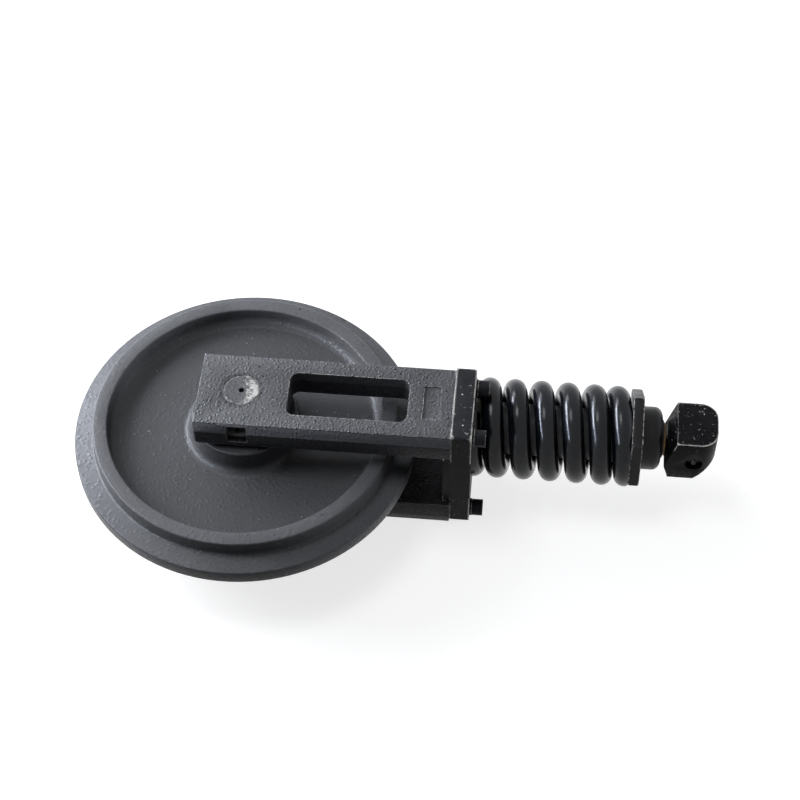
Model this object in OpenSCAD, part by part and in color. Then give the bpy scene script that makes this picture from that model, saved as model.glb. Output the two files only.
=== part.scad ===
// Front idler of a small excavator with its fork and recoil-spring track tensioner.
// The assembly lies on its side: +Z is the wheel's axis, +X runs from the wheel to the rear end block.
// The origin is the wheel's centre. The tensioner's axis is parallel to X and offset towards +Y.

/* [Wheel] */
// Radius of the two treads that the track links run on
tread_r = 165; // [160:1:170]
// Height of the centre flange above the treads
flange_h = 22; // [19:0.5:24]
// Width of the flange's outer land
flange_land = 17; // [14:0.5:19]
// Width of the flange at its root
flange_root = 22.6; // [20:0.2:25]
// Width of the rim across both treads
rim_w = 60.4; // [56:0.4:62]
// Radial thickness of the rim at its side faces
rim_t = 15.6; // [13:0.2:18]
// Thickness of the web between rim and hub
web_t = 20; // [16:1:24]
// Radius of the hub boss at its end faces
hub_r = 57; // [55:0.5:60]
// Length of the hub boss
hub_w = 77; // [70:0.5:86]
// Radius of the fillets where the web meets rim and hub
web_fillet = 10; // [6:0.5:12]

/* [Shaft and seals] */
// Diameter of the fixed shaft
shaft_d = 38; // [36:0.5:40]
// Radial running clearance of the wheel's bushes on the shaft
bush_clear = 0.05; // [0.03:0.01:0.08]
// Wall thickness of the wheel's bushes
bush_wall = 4; // [3.5:0.1:4.5]
// Diameter of the spring pins that lock the shaft in the arms
lock_pin_d = 10; // [8:0.5:11]
// Radius of the bores that hold the floating seals
seal_bore_r = 41; // [40:0.2:42]

/* [Fork arms] */
// Gap between the hub's end and the inner face of an arm
arm_gap = 5.5; // [5:0.1:6.5]
// Thickness of an arm
arm_t = 34; // [31:0.2:37]
// Width of an arm at its parting line
arm_w = 98; // [96:0.5:102]
// Distance from the shaft to the front end of an arm
arm_front = 47; // [46:0.5:52]
// Distance from the shaft to the rear end of an arm
arm_rear = 227; // [225:0.5:235]
// Length of the window in an arm
window_len = 129; // [120:1:132]
// Width of the window in an arm
window_w = 56; // [50:1:60]
// Distance from the shaft to the front end of the window
window_front = 50; // [49:0.5:54]

/* [Yoke] */
// Thickness of the yoke plate behind the arms
plate_t = 22; // [20:0.5:26]
// Width of the yoke plate
plate_w = 95; // [92:0.5:98]
// Offset of the yoke plate's middle from the wheel's centre, towards the tensioner
plate_y = 3; // [2:0.2:4]
// Offset of the tensioner's axis from the wheel's centre
axis_y = 30; // [27:0.5:32]
// Radius of the spring seat on the yoke plate
seat_r = 53; // [52:0.5:54]
// Spacing of the yoke screws across the plate
bolt_span_y = 66; // [64:0.5:68]
// Gap between the spring and the washers of the yoke screws
washer_gap = 0.7; // [0.5:0.1:1.5]

/* [Recoil spring] */
// Outer diameter of the spring
spring_od = 110; // [108:0.5:114]
// Diameter of the spring's wire
wire_d = 23.6; // [22:0.2:23.8]
// Length of the spring as fitted
spring_len = 170; // [166:0.5:176]
// Turns between the two points where the full wire meets its seats
spring_turns = 5.25; // [5:0.05:5.4]

/* [Grease cylinder and rod] */
// Outer diameter of the grease cylinder
tube_d = 57; // [55:0.5:58]
// Inner diameter of the grease cylinder
tube_bore = 42; // [41:0.2:43]
// Diameter of the piston rod
rod_d = 36; // [34:0.5:37]
// Distance across the flats of the spring nut
nut_af = 97; // [94:0.5:99]
// Thickness of the spring nut's hexagon
nut_t = 12; // [11:0.5:14]
// Diameter of the round boss behind the spring nut
boss_d = 69; // [67:0.5:72]
// Length of the round boss behind the spring nut
boss_len = 22; // [21:0.5:26]

/* [End block] */
// Length of the end block's upper face
block_len = 44; // [42:0.5:48]
// Width of the end block
block_w = 57; // [54:0.5:60]
// Height of the end block's top above the rod's axis
block_rise = 30.5; // [28:0.5:33]
// Depth of the end block's lowest edge below the rod's axis
block_drop = 38.5; // [35:0.5:40]
// Plan radius of the end block's two rear corners
block_corner_r = 19; // [15:0.5:21]

/* [Hidden] */
$fn = 96;

paint_grey = [0.33, 0.34, 0.36];
paint_black = [0.09, 0.09, 0.10];
bare_steel = [0.70, 0.70, 0.68];
bronze = [0.72, 0.52, 0.30];
rubber = [0.06, 0.06, 0.06];

// Wheel, shaft and seal heights along the wheel's axis
flange_r = tread_r + flange_h;
rim_in = tread_r - rim_t;
rim_draft = 1.5;
hub_draft = 2;
edge_chamfer = 1.5;
root_chamfer = 2;
shaft_r = shaft_d / 2;
bush_r = shaft_r + bush_wall;
bush_in = shaft_r + bush_clear;
hub_end = hub_w / 2;
hub_wall_r = hub_r + hub_draft;
rim_wall_r = rim_in - rim_draft;
arm_inner = hub_end + arm_gap;
arm_outer = arm_inner + arm_t;
fork_w = 2 * arm_outer;
seal_gap = 0.08;
arm_boss_r = 47;
arm_boss_h = 2.5;
arm_boss_end = arm_inner - arm_boss_h;
seal_plane = (hub_end + arm_boss_end) / 2;
seal_depth = 12;
seal_core_step = 8.3;
seal_core = shaft_r + seal_core_step;
seal_core_gap = 1.2;
seal_in = seal_core + seal_core_gap;
barrel_t = 3.5;
barrel_r = seal_in + barrel_t;
seal_lip_gap = 2;
seal_lip_r = seal_bore_r - seal_lip_gap;
seal_lip_t = 3.4;
seal_lip_bevel = 1;
seal_face_w = 4;
seal_face_drop = 0.6;
seal_ring_lift = 1.5;
toric_squeeze = 0.45;
oil_chamber_step = 7;
oil_chamber_r = bush_r + oil_chamber_step;
oil_chamber_h = 8;
bush_flange_step = 3;
bush_flange_r = bush_r + bush_flange_step;
bush_flange_t = 3;
thrust_gap = 0.3;
thrust_proud = 1;
thrust_end = hub_end + thrust_proud;
thrust_face = thrust_end + thrust_gap;

// Arm castings
parting_h = 13;
side_draft = 3.5;
under_draft = 1;
front_draft = 1;
foot_r = 6;
foot_step = 22.5;
arm_edge_r = 3;
arm_inner_edge_r = 4;
window_r = 9;
pocket_w = 21;
pocket_h = 24;
pocket_depth = 11;
pin_depth = 16;
pin_z = arm_outer - pin_depth;
pin_proud = 3;
pin_far = 30;
pin_slot = 1.8;
pin_wall = 2;
label_front = 195;
label_len = 18;
label_w = 43;
label_depth = 1.5;
o_ring_inset = 4;
o_ring_z = arm_inner + o_ring_inset;
o_ring_h = 3;
o_ring_depth = 2.5;
centre_hole_r = 3;
centre_hole_depth = 7;
relief_w = 0.8;
relief_depth = 1;

// Yoke plate, its screws and guide
tongue_t = 8;
tongue_margin = 0.6;
tongue_h = 2 * (arm_inner - tongue_margin);
tongue_inset = 2;
plate_front = arm_rear;
plate_rear = plate_front + plate_t;
tongue_front = plate_front - tongue_t;
plate_corner_r = 4;
plate_blend_r = 8;
tube_r = tube_d / 2;
guide_clear = 0.06;
guide_wall = 2.5;
spring_clear = 0.4;
guide_r = min(tube_r + guide_wall, spring_od / 2 - wire_d - spring_clear);
guide_spigot = 7;
stop_step = 7;
stop_r = tube_r + stop_step;
stop_t = 10;
stop_inset = 2;
stop_seat = tongue_front + stop_t + stop_inset;
stop_clear = 1;
stop_wall = 5;
bolt_d = 12;
bolt_head_d = 18;
bolt_head_h = 12;
bolt_socket_af = 10;
bolt_socket_depth = 6;
bolt_reach = 24;
bolt_hole_extra = 6;
washer_d = 19;
washer_t = 2.5;
bolt_y = bolt_span_y / 2;
bolt_orbit = spring_od / 2 + washer_gap + washer_d / 2;
bolt_z = sqrt(pow(bolt_orbit, 2) - pow(bolt_y - axis_y, 2));

// Spring
wire_r = wire_d / 2;
coil_r = spring_od / 2 - wire_r;
spring_front = plate_rear;
spring_gap = 0.1;
spring_rear = spring_front + spring_len - spring_gap;
closed_gap = 1.5;
closed_front = 0.45;
closed_rear = 1.05;
tail_turns = 0.7;
ring_sides = 14;
rings_per_turn = 20;

// Grease cylinder, nut, rod and end block
bore_r = tube_bore / 2;
rod_r = rod_d / 2;
tube_front = stop_seat - stop_t;
tube_end_t = 17;
chamber_front = tube_front + tube_end_t;
nut_front = spring_front + spring_len;
boss_front = nut_front + nut_t;
boss_rear = boss_front + boss_len;
gland_lip = 8;
tube_rear = boss_rear - gland_lip;
boss_edge_r = 9;
nut_turn = 17;
nut_chamfer = 1.5;
running_clear = 0.05;
piston_gap = 0.3;
lip_clear = 0.4;
wiper_len = 5;
wiper_wall = 4.5;
wiper_proud = 2;
wiper_lip = 2;
rod_guide_len = 20;
grease_room = 14;
rod_front = chamber_front + grease_room;
piston_len = 30;
seal_groove = 6;
seal_groove_depth = 3.5;
ring_groove = 6;
ring_groove_depth = 1.8;
seal_offset = 5;
ring_offset = 18;
lip_w = 1.2;
lip_depth = 2.5;
lip_back = 1;
lip_edge = 0.6;
grease_hole_r = 3;
neck_len = 4;
cone_front = boss_rear + neck_len;
cone_len = 11.5;
cone_step = 10;
cone_r = rod_r + cone_step;
cone_lip = 0.5;
cone_land = 2;
block_front = cone_front + cone_len;
block_rear = block_front + block_len;
block_rake = 11;
block_chin = 12;
block_jaw = 5;
block_jaw_z = 33;
block_keel = 6.5;
block_heel = 21.5;
block_heel_z = 30.5;
block_rear_z = 4;
block_side_bevel = 8;
rod_in_block = 32;
rod_rear = block_front + rod_in_block;
spigot_step = 6;
spigot_r = rod_r - spigot_step;
valve_inset = 20.5;
valve_x = block_front + valve_inset;
valve_z = -4;
valve_pocket_r = 9.5;
valve_pocket_depth = 11;
valve_af = 13;
valve_head_h = 5;
valve_stem_r = 5;
valve_stem_len = 4;
valve_hole_r = 1.5;
nipple_r = 2.6;
nipple_tip_r = 3.3;
nipple_len = 5;
nipple_bore_r = 1;
nipple_neck = 0.6;
nipple_round = 0.4;
nipple_shoulder = 2;
nipple_neck_at = 2.75;
nipple_ball_at = 3.75;

// How far a cut reaches past the face it opens
cut = 1;

// Distance across the corners of a hexagon from that across its flats
function across_corners(af) = af / cos(30);

// Shared shapes

// Rectangle with four round corners, centred
module rounded_rect(size, r) {
    square([size.x - 2 * r, size.y], center = true);
    square([size.x, size.y - 2 * r], center = true);
    for (sx = [-1, 1], sy = [-1, 1])
        translate([sx * (size.x / 2 - r), sy * (size.y / 2 - r)]) circle(r);
}

// Lays a flat outline drawn in Y and Z along +X, starting at x
module along_x(x, len) {
    translate([x, 0, 0]) rotate([90, 0, 90]) linear_extrude(len) children();
}

// Turns a profile drawn as radius and X about the tensioner's axis
module turned_x() {
    translate([0, axis_y, 0]) rotate([0, 90, 0]) rotate_extrude() children();
}

// Solid cylinder on the tensioner's axis
module rod_x(x, len, r) {
    translate([x, axis_y, 0]) rotate([0, 90, 0]) cylinder(h = len, r = r);
}

// Mirrors its children to both sides of the wheel's middle plane
module both_sides() {
    children();
    mirror([0, 0, 1]) children();
}

// The lower arm is the same casting as the upper one, turned over about X
module turned_over() {
    rotate([180, 0, 0]) children();
}

// Wheel body

// Upper half of the wheel's section from bore to flange, square where the web meets rim and hub
bush_top = thrust_end - bush_flange_t;
fillet_top = web_t / 2 + web_fillet;
wheel_half = [
    [bush_r, bush_top],
    [seal_core, bush_top],
    [seal_core, hub_end - seal_depth],
    [seal_bore_r, hub_end - seal_depth],
    [seal_bore_r, hub_end],
    [hub_r - edge_chamfer, hub_end],
    [hub_r, hub_end - edge_chamfer],
    [hub_wall_r, fillet_top],
    [hub_wall_r + web_fillet, fillet_top],
    [hub_wall_r + web_fillet, web_t / 2],
    [rim_wall_r - web_fillet, web_t / 2],
    [rim_wall_r - web_fillet, fillet_top],
    [rim_wall_r, fillet_top],
    [rim_in, rim_w / 2 - edge_chamfer],
    [rim_in + edge_chamfer, rim_w / 2],
    [tread_r - edge_chamfer, rim_w / 2],
    [tread_r, rim_w / 2 - edge_chamfer],
    [tread_r, flange_root / 2 + root_chamfer],
    [tread_r + root_chamfer, flange_root / 2],
    [flange_r - edge_chamfer, flange_land / 2],
    [flange_r, flange_land / 2 - edge_chamfer]
];
wheel_mirrored = [for (i = [len(wheel_half) - 1:-1:0]) [wheel_half[i].x, -wheel_half[i].y]];

module idler_wheel() {
    color(paint_grey) rotate_extrude() difference() {
        polygon(concat(wheel_half, wheel_mirrored));
        for (s = [-1, 1], r = [hub_wall_r + web_fillet, rim_wall_r - web_fillet])
            translate([r, s * fillet_top]) circle(web_fillet);
        translate([0, -oil_chamber_h]) square([oil_chamber_r, 2 * oil_chamber_h]);
    }
}

// Flanged bush pressed into the hub; its flange takes the side thrust
module wheel_bush() {
    rotate_extrude() {
        translate([bush_in, oil_chamber_h])
            square([bush_r - bush_in, thrust_end - oil_chamber_h]);
        translate([bush_in, bush_top])
            square([bush_flange_r - bush_in, bush_flange_t]);
    }
}

module upper_bush() {
    color(bronze) wheel_bush();
}

module lower_bush() {
    color(bronze) turned_over() wheel_bush();
}

// One metal ring of a floating seal, its lapped face at the given plane, its barrel below it
module seal_ring(face) {
    back = face - seal_lip_t;
    foot = face - seal_depth + seal_ring_lift;
    rotate_extrude() polygon([
        [seal_in, foot],
        [barrel_r, foot],
        [barrel_r, back],
        [seal_lip_r - seal_lip_bevel, back],
        [seal_lip_r, back + seal_lip_bevel],
        [seal_lip_r, face - seal_face_drop],
        [seal_lip_r - seal_face_w, face],
        [seal_in, face]
    ]);
}

// Rubber ring squeezed flat between a seal ring's barrel and its bore, resting on the bore's floor
module seal_toric(floor) {
    toric_r = (seal_bore_r - barrel_r) / 2 + toric_squeeze;
    rotate_extrude() intersection() {
        translate([(seal_bore_r + barrel_r) / 2, floor + toric_r]) circle(toric_r);
        translate([barrel_r, floor]) square([seal_bore_r - barrel_r, 2 * toric_r]);
    }
}

// Mirrors a hub-side seal piece to the arm side of the upper seal
module to_arm_side() {
    translate([0, 0, 2 * seal_plane]) mirror([0, 0, 1]) children();
}

module upper_hub_seal_ring() {
    color(bare_steel) seal_ring(seal_plane - seal_gap / 2);
}

module lower_hub_seal_ring() {
    color(bare_steel) turned_over() seal_ring(seal_plane - seal_gap / 2);
}

module upper_hub_toric() {
    color(rubber) seal_toric(hub_end - seal_depth);
}

module lower_hub_toric() {
    color(rubber) turned_over() seal_toric(hub_end - seal_depth);
}

// Fork body

// Plan outline of an arm, with the given radius at its two front corners
module arm_outline(r) {
    len = arm_front + arm_rear;
    translate([-arm_front + len / 2, 0]) rounded_rect([len, arm_w], r);
    translate([arm_rear - len / 2, -arm_w / 2]) square([len / 2, arm_w]);
}

// Section across an arm: widest at the parting line, drafted towards both faces
module arm_section() {
    parting = arm_outer - parting_h;
    half = arm_w / 2;
    polygon([
        [-half + side_draft, arm_outer], [half - side_draft, arm_outer], [half, parting],
        [half - under_draft, arm_inner], [-half + under_draft, arm_inner], [-half, parting]
    ]);
}

// Side outline of an arm: drafted front end, rounded where it meets the inner face
module arm_side() {
    parting = arm_outer - parting_h;
    polygon([
        [-arm_front + front_draft, arm_outer], [arm_rear, arm_outer], [arm_rear, arm_inner],
        for (a = [0:foot_step:90])
            [-arm_front + foot_r * (1 - sin(a)), arm_inner + foot_r * (1 - cos(a))],
        [-arm_front, parting]
    ]);
}

module arm_blank() {
    parting = arm_outer - parting_h;
    intersection() {
        union() {
            translate([0, 0, parting]) linear_extrude(parting_h) arm_outline(arm_edge_r);
            translate([0, 0, arm_inner]) linear_extrude(arm_t - parting_h) arm_outline(arm_inner_edge_r);
        }
        along_x(-arm_front, arm_front + arm_rear) arm_section();
        translate([0, arm_w / 2, 0]) rotate([90, 0, 0]) linear_extrude(arm_w) arm_side();
    }
    translate([0, 0, arm_boss_end]) cylinder(h = arm_boss_h, r = arm_boss_r);
    translate([0, 0, thrust_face]) cylinder(h = arm_inner - thrust_face, r = seal_core);
}

module arm_window() {
    translate([window_front + window_len / 2, 0, arm_inner - arm_boss_h])
        linear_extrude(arm_t + 2 * arm_boss_h) rounded_rect([window_len, window_w], window_r);
}

// Bores for the shaft, the floating seal and the static ring on the shaft
module arm_bores() {
    rotate_extrude() {
        square([shaft_r, arm_outer + cut]);
        translate([seal_core, 0]) square([seal_bore_r - seal_core, 2 * seal_plane - hub_end + seal_depth]);
        translate([0, o_ring_z - o_ring_h / 2]) square([shaft_r + o_ring_depth, o_ring_h]);
        translate([0, arm_outer - relief_depth]) square([shaft_r + relief_w, relief_depth + cut]);
    }
}

module lock_pin_hole() {
    translate([0, -arm_w, pin_z]) rotate([-90, 0, 0]) cylinder(h = arm_w + pin_far, r = lock_pin_d / 2);
}

module pin_pocket() {
    translate([-pocket_w / 2, -arm_w / 2 - cut, pin_z - pocket_h / 2])
        cube([pocket_w, pocket_depth + cut, pocket_h]);
}

module bolt_places() {
    for (sy = [-1, 1], sz = [-1, 1])
        translate([0, sy * bolt_y, sz * bolt_z]) children();
}

module bolt_holes() {
    hole_len = bolt_reach + bolt_hole_extra;
    bolt_places() translate([arm_rear - hole_len, 0, 0]) rotate([0, 90, 0])
        cylinder(h = hole_len + plate_t + cut, r = bolt_d / 2);
}

module arm() {
    difference() {
        arm_blank();
        arm_window();
        arm_bores();
        lock_pin_hole();
        pin_pocket();
        bolt_holes();
        translate([label_front, -label_w / 2, arm_outer - label_depth])
            cube([label_len, label_w, label_depth + cut]);
    }
}

module upper_arm() {
    color(paint_grey) arm();
}

module lower_arm() {
    color(paint_grey) turned_over() arm();
}

// Turned centre in a shaft end
module centre_hole() {
    translate([0, 0, arm_outer - centre_hole_depth]) cylinder(h = centre_hole_depth + cut, r = centre_hole_r);
}

module idler_shaft() {
    color(bare_steel) difference() {
        translate([0, 0, -arm_outer]) cylinder(h = fork_w, r = shaft_r);
        centre_hole();
        turned_over() centre_hole();
        lock_pin_hole();
        turned_over() lock_pin_hole();
    }
}

// Slotted spring pin through arm and shaft, its near end in the arm's pocket
module lock_pin() {
    near = -arm_w / 2 + pocket_depth - pin_proud;
    len = pin_far - near;
    translate([0, near, pin_z]) rotate([-90, 0, 0]) difference() {
        cylinder(h = len, r = lock_pin_d / 2);
        translate([0, 0, -cut]) cylinder(h = len + 2 * cut, r = lock_pin_d / 2 - pin_wall);
        translate([-pin_slot / 2, -lock_pin_d, -cut]) cube([pin_slot, lock_pin_d, len + 2 * cut]);
    }
}

module lock_pins() {
    color(bare_steel) {
        lock_pin();
        turned_over() lock_pin();
    }
}

// Static rubber ring between arm and shaft, squeezed into its groove
module shaft_o_ring() {
    ring_r = o_ring_h / 2;
    rotate_extrude() intersection() {
        translate([shaft_r + o_ring_depth / 2, o_ring_z]) circle(ring_r);
        translate([shaft_r, o_ring_z - ring_r]) square([o_ring_depth, o_ring_h]);
    }
}

module shaft_o_rings() {
    color(rubber) both_sides() shaft_o_ring();
}

module upper_arm_seal_ring() {
    color(bare_steel) to_arm_side() seal_ring(seal_plane - seal_gap / 2);
}

module lower_arm_seal_ring() {
    color(bare_steel) turned_over() to_arm_side() seal_ring(seal_plane - seal_gap / 2);
}

module upper_arm_toric() {
    color(rubber) to_arm_side() seal_toric(hub_end - seal_depth);
}

module lower_arm_toric() {
    color(rubber) turned_over() to_arm_side() seal_toric(hub_end - seal_depth);
}

// Outline of the yoke plate: a rectangle with a round lobe behind the spring, blended into its edge
module plate_outline() {
    far_y = plate_y + plate_w / 2;
    blend_y = far_y + plate_blend_r;
    reach = seat_r + plate_blend_r;
    blend_z = sqrt(reach * reach - pow(blend_y - axis_y, 2));
    touch = seat_r / reach;
    translate([plate_y, 0]) rounded_rect([plate_w, fork_w], plate_corner_r);
    translate([axis_y, 0]) circle(seat_r);
    for (s = [-1, 1]) difference() {
        polygon([
            [axis_y, 0], [far_y, s * blend_z], [blend_y, s * blend_z],
            [axis_y + (blend_y - axis_y) * touch, s * blend_z * touch]
        ]);
        translate([blend_y, s * blend_z]) circle(plate_blend_r);
    }
}

module yoke_plate() {
    color(paint_black) difference() {
        union() {
            along_x(plate_front, plate_t) plate_outline();
            along_x(tongue_front, tongue_t) translate([plate_y, 0])
                square([plate_w - 2 * tongue_inset, tongue_h], center = true);
            rod_x(tongue_front, tongue_t, stop_r + stop_clear + stop_wall);
        }
        rod_x(tongue_front - cut, plate_t + tongue_t + 2 * cut, guide_r);
        rod_x(tongue_front - cut, stop_seat - tongue_front + cut, stop_r + stop_clear);
        bolt_holes();
    }
}

// Bush that guides the cylinder; its rear end centres the spring
module guide_bush() {
    len = plate_rear + guide_spigot - stop_seat;
    color(bronze) difference() {
        rod_x(stop_seat, len, guide_r);
        rod_x(stop_seat - cut, len + 2 * cut, tube_r + guide_clear);
    }
}

// Socket-head screw through the plate into an arm's end
module yoke_bolt() {
    seat = plate_rear + washer_t;
    rotate([0, 90, 0]) difference() {
        union() {
            translate([0, 0, arm_rear - bolt_reach])
                cylinder(h = seat - arm_rear + bolt_reach, r = bolt_d / 2);
            translate([0, 0, seat]) cylinder(h = bolt_head_h, r = bolt_head_d / 2);
        }
        translate([0, 0, seat + bolt_head_h - bolt_socket_depth])
            cylinder(h = bolt_socket_depth + cut, d = across_corners(bolt_socket_af), $fn = 6);
    }
}

module yoke_bolts() {
    color(paint_black) bolt_places() yoke_bolt();
}

module yoke_washers() {
    color(paint_black) bolt_places() translate([plate_rear, 0, 0]) rotate([0, 90, 0]) difference() {
        cylinder(h = washer_t, r = washer_d / 2);
        translate([0, 0, -cut]) cylinder(h = washer_t + 2 * cut, r = bolt_d / 2);
    }
}

// Distance of the wire's centre behind its front seat after a number of turns.
// Both ends are wound nearly closed and the open turns between them share what length is left.
function wire_rise(turn) =
    let (
        closed_pitch = wire_d + closed_gap,
        open_turns = spring_turns - closed_front - closed_rear,
        open_len = spring_rear - spring_front - wire_d - closed_pitch * (closed_front + closed_rear),
        open_pitch = open_len / open_turns,
        in_open = min(max(turn - closed_front, 0), open_turns)
    )
    wire_r + closed_pitch * (turn - in_open) + open_pitch * in_open;

// Half angle of the wire's section that grinding takes off, from the height of its centre over a seat
function ground_angle(height) = height >= wire_r ? 0 : acos(height / wire_r);

// Angle of one point on the wire's section; where an end is ground, the points share what is left
function wire_angle(turn, side) =
    let (
        front = ground_angle(wire_rise(turn)),
        rear = ground_angle(spring_rear - spring_front - wire_rise(turn)),
        cut = max(front, rear),
        seam = rear > 0 ? 90 : -90,
        k = rear > 0 ? (side + ring_sides / 2) % ring_sides : side,
        ease = cut > 0 ? 0 : 0.5
    )
    seam + cut + (360 - 2 * cut) * (k + ease) / (ring_sides - 1 + 2 * ease);

// Point on the wire's surface, wound about the tensioner's axis
function wire_point(turn, side) =
    let (
        a = wire_angle(turn, side),
        r = coil_r + wire_r * cos(a),
        x = spring_front + wire_rise(turn) + wire_r * sin(a)
    )
    [x, axis_y + r * cos(360 * turn), r * sin(360 * turn)];

module recoil_spring() {
    rings = round((spring_turns + 2 * tail_turns) * rings_per_turn);
    step = (spring_turns + 2 * tail_turns) / rings;
    points = [
        for (i = [0:rings], s = [0:ring_sides - 1]) wire_point(-tail_turns + i * step, s)
    ];
    walls = [
        for (i = [0:rings - 1], s = [0:ring_sides - 1])
            let (n = (s + 1) % ring_sides, a = i * ring_sides, b = a + ring_sides)
            each [[a + s, b + s, b + n], [a + s, b + n, a + n]]
    ];
    first = [[for (s = [0:ring_sides - 1]) s]];
    last = [[for (s = [ring_sides - 1:-1:0]) rings * ring_sides + s]];
    color(paint_black) polyhedron(points, concat(walls, first, last));
}

// Cylinder body

module grease_cylinder() {
    color(bare_steel) difference() {
        union() {
            rod_x(tube_front, tube_rear - tube_front, tube_r);
            rod_x(tube_front, stop_t, stop_r);
        }
        rod_x(chamber_front, tube_rear - chamber_front + cut, bore_r);
    }
}

// Hexagon that holds the spring, with a round boss that closes the cylinder round the rod
module spring_nut() {
    corner_r = across_corners(nut_af) / 2;
    color(paint_black) difference() {
        union() {
            intersection() {
                translate([nut_front, axis_y, 0])
                    rotate([nut_turn, 0, 0]) rotate([0, 90, 0]) rotate([0, 0, 90])
                    cylinder(h = nut_t, r = corner_r, $fn = 6);
                turned_x() polygon([
                    [0, nut_front], [corner_r - nut_chamfer, nut_front],
                    [corner_r, nut_front + nut_chamfer], [corner_r, boss_front - nut_chamfer],
                    [corner_r - nut_chamfer, boss_front], [0, boss_front]
                ]);
            }
            turned_x() {
                translate([0, boss_front]) square([boss_d / 2, boss_len - boss_edge_r]);
                translate([0, boss_front]) square([boss_d / 2 - boss_edge_r, boss_len]);
                translate([boss_d / 2 - boss_edge_r, boss_rear - boss_edge_r]) circle(boss_edge_r);
            }
        }
        rod_x(nut_front - cut, tube_rear - nut_front + cut, tube_r);
        rod_x(tube_rear - cut, gland_lip + 2 * cut, rod_r + lip_clear);
        rod_x(boss_rear - wiper_len, wiper_len + cut, rod_r + wiper_wall);
    }
}

// Bronze ring that guides the rod in the cylinder's rear end
module rod_guide() {
    color(bronze) difference() {
        rod_x(tube_rear - rod_guide_len, rod_guide_len, bore_r);
        rod_x(tube_rear - rod_guide_len - cut, rod_guide_len + 2 * cut, rod_r + running_clear);
    }
}

// Dirt wiper in the boss, its lip leaning on the rod
module rod_wiper() {
    lip = rod_r + running_clear;
    base = rod_r + wiper_wall;
    start = boss_rear - wiper_len;
    color(rubber) turned_x() polygon([
        [lip, start], [base, start], [base, boss_rear],
        [lip + wiper_lip, boss_rear + wiper_proud], [lip, boss_rear + wiper_proud]
    ]);
}

// Rod body

module piston_rod() {
    color(bare_steel) difference() {
        union() {
            rod_x(rod_front, block_front - rod_front, rod_r);
            rod_x(rod_front, rod_rear - rod_front, spigot_r);
            rod_x(rod_front, piston_len, bore_r - piston_gap);
        }
        turned_x() {
            translate([bore_r - seal_groove_depth, rod_front + seal_offset])
                square([seal_groove_depth + cut, seal_groove]);
            translate([bore_r - ring_groove_depth, rod_front + ring_offset])
                square([ring_groove_depth + cut, ring_groove]);
        }
        rod_x(rod_front - cut, valve_x - rod_front + cut, grease_hole_r);
        translate([valve_x, axis_y - spigot_r - cut, valve_z / 2]) rotate([-90, 0, 0])
            cylinder(h = spigot_r + cut, r = valve_hole_r);
    }
}

// Lip seal that holds the grease in front of the piston
module piston_seal() {
    out = bore_r - running_clear;
    base = bore_r - seal_groove_depth;
    start = rod_front + seal_offset;
    color(rubber) turned_x() polygon([
        [base, start + lip_back], [base + lip_w, start], [out - lip_w, start + lip_depth],
        [out - lip_edge, start], [out, start + lip_edge],
        [out, start + seal_groove], [base, start + seal_groove]
    ]);
}

module wear_ring() {
    color(bronze) turned_x()
        translate([bore_r - ring_groove_depth, rod_front + ring_offset])
            square([ring_groove_depth - running_clear, ring_groove]);
}

// Plan outline of the block: straight front, two round rear corners
module block_plan() {
    lead = block_rake;
    translate([block_front - lead, axis_y - block_w / 2])
        square([block_len + lead - block_corner_r, block_w]);
    translate([block_front - lead, axis_y - block_w / 2 + block_corner_r])
        square([block_len + lead, block_w - 2 * block_corner_r]);
    for (s = [-1, 1])
        translate([block_rear - block_corner_r, axis_y + s * (block_w / 2 - block_corner_r)])
            circle(block_corner_r);
}

// Side outline of the block: the front leans forward below, the lower rear is cut back
module block_side() {
    polygon([
        [block_front, block_rise], [block_rear, block_rise], [block_rear, -block_rear_z],
        [block_rear - block_heel, -block_heel_z], [block_front + block_keel, -block_drop],
        [block_front - block_jaw, -block_jaw_z], [block_front - block_rake, -block_chin]
    ]);
}

// End outline of the block with its lower long edges cut back
module block_end() {
    near = axis_y - block_w / 2;
    far = axis_y + block_w / 2;
    bevel_z = -block_drop + block_side_bevel;
    polygon([
        [near, block_rise], [far, block_rise], [far, bevel_z], [far - block_side_bevel, -block_drop],
        [near + block_side_bevel, -block_drop], [near, bevel_z]
    ]);
}

module end_block() {
    near = axis_y - block_w / 2;
    color(paint_black) difference() {
        union() {
            intersection() {
                translate([0, 0, -block_drop]) linear_extrude(block_drop + block_rise) block_plan();
                translate([0, axis_y + block_w, 0]) rotate([90, 0, 0])
                    linear_extrude(2 * block_w) block_side();
                along_x(block_front - block_rake, block_len + block_rake) block_end();
            }
            turned_x() polygon([
                [0, cone_front], [rod_r + cone_lip, cone_front], [cone_r, block_front - cone_land],
                [cone_r, block_front + cone_land], [0, block_front + cone_land]
            ]);
        }
        rod_x(cone_front - cut, block_front - cone_front + cut, rod_r);
        rod_x(cone_front - cut, rod_rear - cone_front + cut, spigot_r);
        translate([valve_x, near - cut, valve_z]) rotate([-90, 0, 0])
            cylinder(h = valve_pocket_depth + cut, r = valve_pocket_r);
        translate([valve_x, near, valve_z]) rotate([-90, 0, 0])
            cylinder(h = block_w / 2, r = valve_stem_r);
    }
}

// Hexagon valve screwed into the floor of the block's side pocket
module grease_valve() {
    floor_y = axis_y - block_w / 2 + valve_pocket_depth;
    color(bare_steel) translate([valve_x, floor_y, valve_z]) rotate([-90, 0, 0]) difference() {
        union() {
            translate([0, 0, -valve_head_h])
                cylinder(h = valve_head_h, d = across_corners(valve_af), $fn = 6);
            cylinder(h = valve_stem_len, r = valve_stem_r);
        }
        translate([0, 0, -valve_head_h - cut])
            cylinder(h = valve_head_h + valve_stem_len + 2 * cut, r = valve_hole_r);
    }
}

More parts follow.
